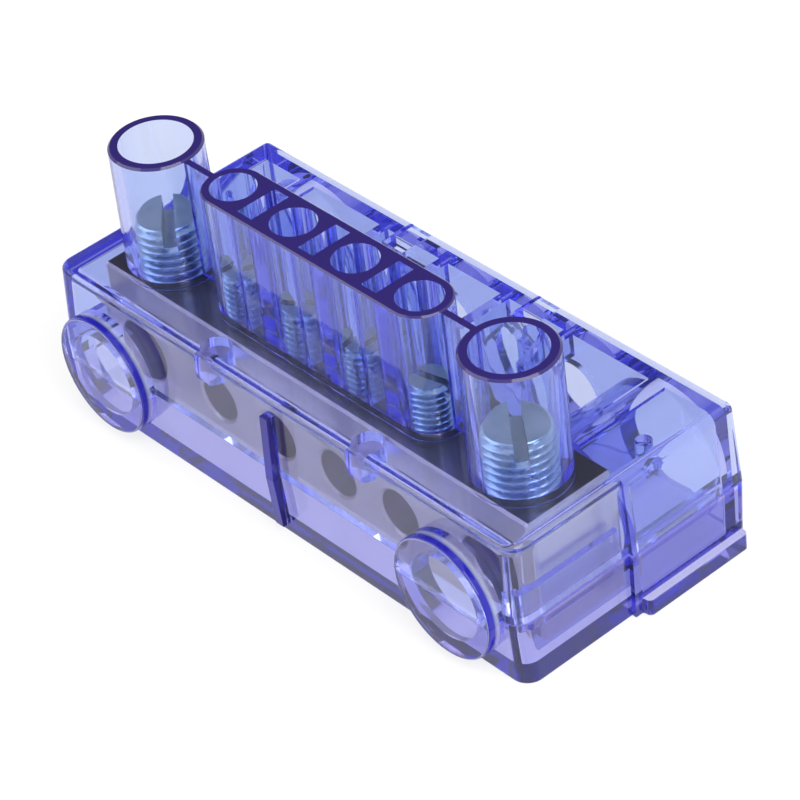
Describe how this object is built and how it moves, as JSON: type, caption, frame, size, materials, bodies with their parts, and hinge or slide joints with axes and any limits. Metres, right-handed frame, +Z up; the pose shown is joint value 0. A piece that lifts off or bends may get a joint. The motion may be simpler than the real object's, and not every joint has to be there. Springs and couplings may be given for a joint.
{
  "type": "commoning block",
  "caption": "Clear blue terminal block with one joined metal bar, two large and several small slotted clamp screws in touch-proof towers, and a clip-on base.",
  "frame": {"origin": "middle of the bounding box in plan, on the underside of the base", "axes": "+X along the row of screws, -Y to the side with the two round bosses, +Y to the side where the cables go in, +Z up along the screws"},
  "size_m": [0.0782, 0.0342, 0.0334],
  "materials": {
    "blue_clear_plastic": "glossy clear blue polycarbonate",
    "plated_brass": "satin tin plating on brass",
    "zinc_steel": "bright zinc plating"
  },
  "bodies": {
    "block": {"cover": "blue_clear_plastic", "base": "blue_clear_plastic", "terminal_bar": "plated_brass"},
    "large_screw_left": {"large_screw_left": "zinc_steel"},
    "large_screw_right": {"large_screw_right": "zinc_steel"},
    "small_screw_1": {"small_screw_1": "zinc_steel"},
    "small_screw_2": {"small_screw_2": "zinc_steel"},
    "small_screw_3": {"small_screw_3": "zinc_steel"},
    "small_screw_4": {"small_screw_4": "zinc_steel"}
  },
  "joints": [
    {"name": "large_screw_left_travel", "type": "slide", "parent": "block", "child": "large_screw_left", "axis": [0, 0, 1], "range_m": [-0.0045, 0.0025]},
    {"name": "large_screw_right_travel", "type": "slide", "parent": "block", "child": "large_screw_right", "axis": [0, 0, 1], "range_m": [-0.0045, 0.0025]},
    {"name": "small_screw_1_travel", "type": "slide", "parent": "block", "child": "small_screw_1", "axis": [0, 0, 1], "range_m": [-0.0045, 0.003]},
    {"name": "small_screw_2_travel", "type": "slide", "parent": "block", "child": "small_screw_2", "axis": [0, 0, 1], "range_m": [-0.0045, 0.003]},
    {"name": "small_screw_3_travel", "type": "slide", "parent": "block", "child": "small_screw_3", "axis": [0, 0, 1], "range_m": [-0.0045, 0.003]},
    {"name": "small_screw_4_travel", "type": "slide", "parent": "block", "child": "small_screw_4", "axis": [0, 0, 1], "range_m": [-0.0045, 0.003]}
  ]
}
